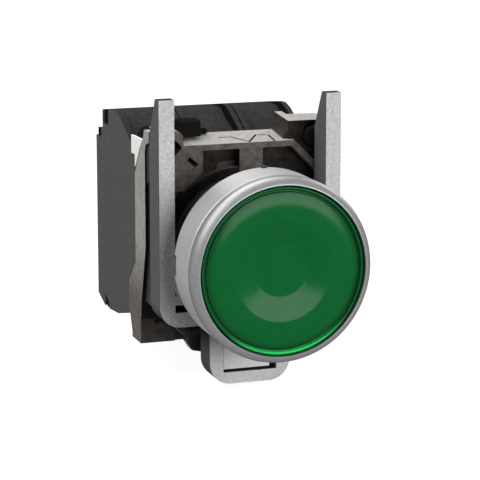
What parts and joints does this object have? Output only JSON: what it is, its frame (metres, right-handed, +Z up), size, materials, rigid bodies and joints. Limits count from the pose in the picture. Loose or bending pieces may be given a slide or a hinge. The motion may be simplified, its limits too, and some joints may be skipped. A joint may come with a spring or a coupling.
{
  "type": "illuminated push button",
  "caption": "Illuminated flush push button with a green lens, round metal bezel, clamp frame and contact and light blocks, for a round panel hole.",
  "frame": {"origin": "on the button's axis, in the plane where the gasket meets the panel's front face", "axes": "+Y rearwards through the panel along the button's travel, +Z up, +X to the right seen from the front; the lens faces -Y"},
  "size_m": [0.03, 0.054, 0.0461],
  "materials": {
    "bezel_metal": "satin",
    "black_rubber": "matt",
    "green_lens": "gloss",
    "white_plastic": "matt",
    "spring_steel": "bright",
    "dark_casting": "matt",
    "plated_casting": "fine grain",
    "black_steel": "black oxide",
    "black_plastic": "matt",
    "grey_plastic": "matt",
    "lamp_plastic": "gloss",
    "board_green": "satin",
    "terminal_brass": "satin",
    "contact_silver": "bright",
    "screw_steel": "zinc plated"
  },
  "bodies": {
    "body": {"bezel": "bezel_metal", "seal_gasket": "black_rubber", "return_spring": "spring_steel", "inner_seal": "black_rubber", "collar_body": "dark_casting", "block_catch": "black_plastic", "light_housing": "grey_plastic", "light_cover": "grey_plastic", "light_lamp": "lamp_plastic", "light_board": "board_green", "light_terminals": "terminal_brass", "terminal_screws": "screw_steel", "cable_clamps": "screw_steel", "left_housing": "grey_plastic", "left_cover": "grey_plastic", "left_plunger_spring": "spring_steel", "left_terminals": "terminal_brass", "left_release": "white_plastic", "right_housing": "grey_plastic", "right_cover": "grey_plastic", "right_plunger_spring": "spring_steel", "right_terminals": "terminal_brass", "right_release": "white_plastic"},
    "button": {"lens": "green_lens", "lens_carrier": "white_plastic", "pusher_ring": "white_plastic"},
    "left_pusher": {"left_plunger": "black_plastic"},
    "right_pusher": {"right_plunger": "black_plastic"},
    "left_contact": {"left_bridge": "contact_silver"},
    "right_contact": {"right_bridge": "contact_silver"},
    "lock": {"locking_ring": "plated_casting"},
    "clamp": {"clamp_frame": "plated_casting"},
    "left_screw": {"clamp_screw_left": "black_steel"},
    "right_screw": {"clamp_screw_right": "black_steel"}
  },
  "joints": [
    {"name": "button_press", "type": "slide", "parent": "body", "child": "button", "axis": [0, 1, 0], "range_m": [0, 0.0035], "stiffness_N_per_m": 500, "springref_m": -0.003, "deforming": ["return_spring"]},
    {"name": "left_plunger_press", "type": "slide", "parent": "body", "child": "left_pusher", "axis": [0, 1, 0], "range_m": [0, 0.0035], "stiffness_N_per_m": 200, "springref_m": -0.002, "deforming": ["left_plunger_spring"]},
    {"name": "right_plunger_press", "type": "slide", "parent": "body", "child": "right_pusher", "axis": [0, 1, 0], "range_m": [0, 0.0035], "stiffness_N_per_m": 200, "springref_m": -0.002, "deforming": ["right_plunger_spring"]},
    {"name": "left_bridge_close", "type": "slide", "parent": "body", "child": "left_contact", "axis": [0, 1, 0], "range_m": [0, 0.00195]},
    {"name": "right_bridge_open", "type": "slide", "parent": "body", "child": "right_contact", "axis": [0, 1, 0], "range_m": [0, 0.00195]},
    {"name": "lock_turn", "type": "hinge", "parent": "body", "child": "lock", "pos_m": [0, 0.016, 0], "axis": [0, -1, 0], "range_deg": [0, 25]},
    {"name": "clamp_slide", "type": "slide", "parent": "body", "child": "clamp", "axis": [0, -1, 0], "range_m": [0, 0.0043]},
    {"name": "left_screw_turn", "type": "hinge", "parent": "clamp", "child": "left_screw", "pos_m": [-0.0127, 0.015, 0.0168], "axis": [0, -1, 0], "range_deg": [0, 2213]},
    {"name": "right_screw_turn", "type": "hinge", "parent": "clamp", "child": "right_screw", "pos_m": [0.0127, 0.015, 0.0168], "axis": [0, -1, 0], "range_deg": [0, 2213]}
  ],
  "couplings": [
    {"joint": "left_plunger_press", "follows": "button_press", "ratio": 1},
    {"joint": "right_plunger_press", "follows": "button_press", "ratio": 1},
    {"joint": "left_bridge_close", "follows": "button_press", "ratio": 0.55714},
    {"joint": "right_bridge_open", "follows": "button_press", "ratio": 0.55714},
    {"joint": "left_screw_turn", "follows": "clamp_slide", "rad_per_m": 8976},
    {"joint": "right_screw_turn", "follows": "clamp_slide", "rad_per_m": 8976}
  ]
}
